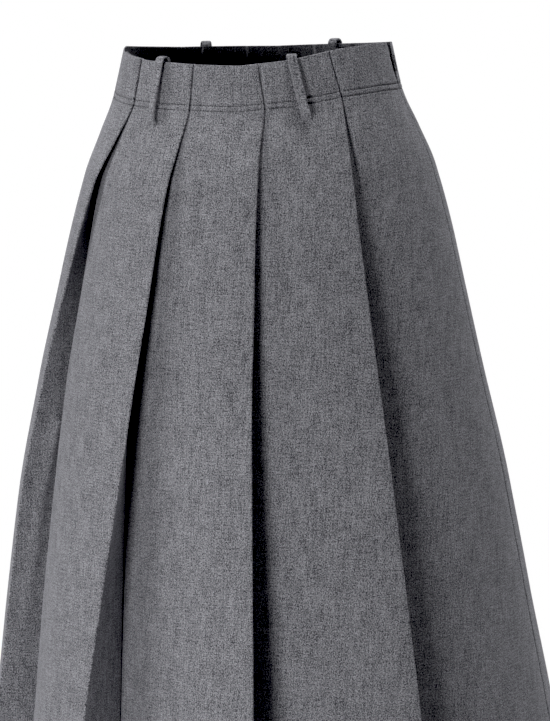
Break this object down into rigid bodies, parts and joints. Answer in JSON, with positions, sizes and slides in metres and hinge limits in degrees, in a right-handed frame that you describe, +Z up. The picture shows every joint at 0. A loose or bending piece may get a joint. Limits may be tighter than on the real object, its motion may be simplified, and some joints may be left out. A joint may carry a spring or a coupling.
{
  "type": "pleated midi skirt",
  "caption": "Worn midi skirt in wool flannel with one-way knife pleats, belt loops and a concealed side zip.",
  "frame": {"origin": "centre of the waist ring, level with the mean height of the waist edge", "axes": "+Z up, the garment faces -Y, the wearer's left is +X"},
  "size_m": [0.5769, 0.5646, 0.7884],
  "materials": {
    "flannel": "milled grey melange wool",
    "zip_tape": "woven dark grey tape",
    "zip_metal": "dark lacquer"
  },
  "bodies": {
    "skirt": {"front": "flannel", "back": "flannel", "belt_loop_1": "flannel", "belt_loop_2": "flannel", "belt_loop_3": "flannel", "belt_loop_4": "flannel", "zip_tape": "zip_tape", "zip_slider": "zip_metal"},
    "pull_tab": {"zip_pull": "zip_metal"}
  },
  "joints": [
    {"name": "pull_swing", "type": "hinge", "parent": "skirt", "child": "pull_tab", "pos_m": [0.13157, -0.00859, -0.00565], "axis": [-0.1216, -0.9926, 0], "range_deg": [0, 150]}
  ]
}
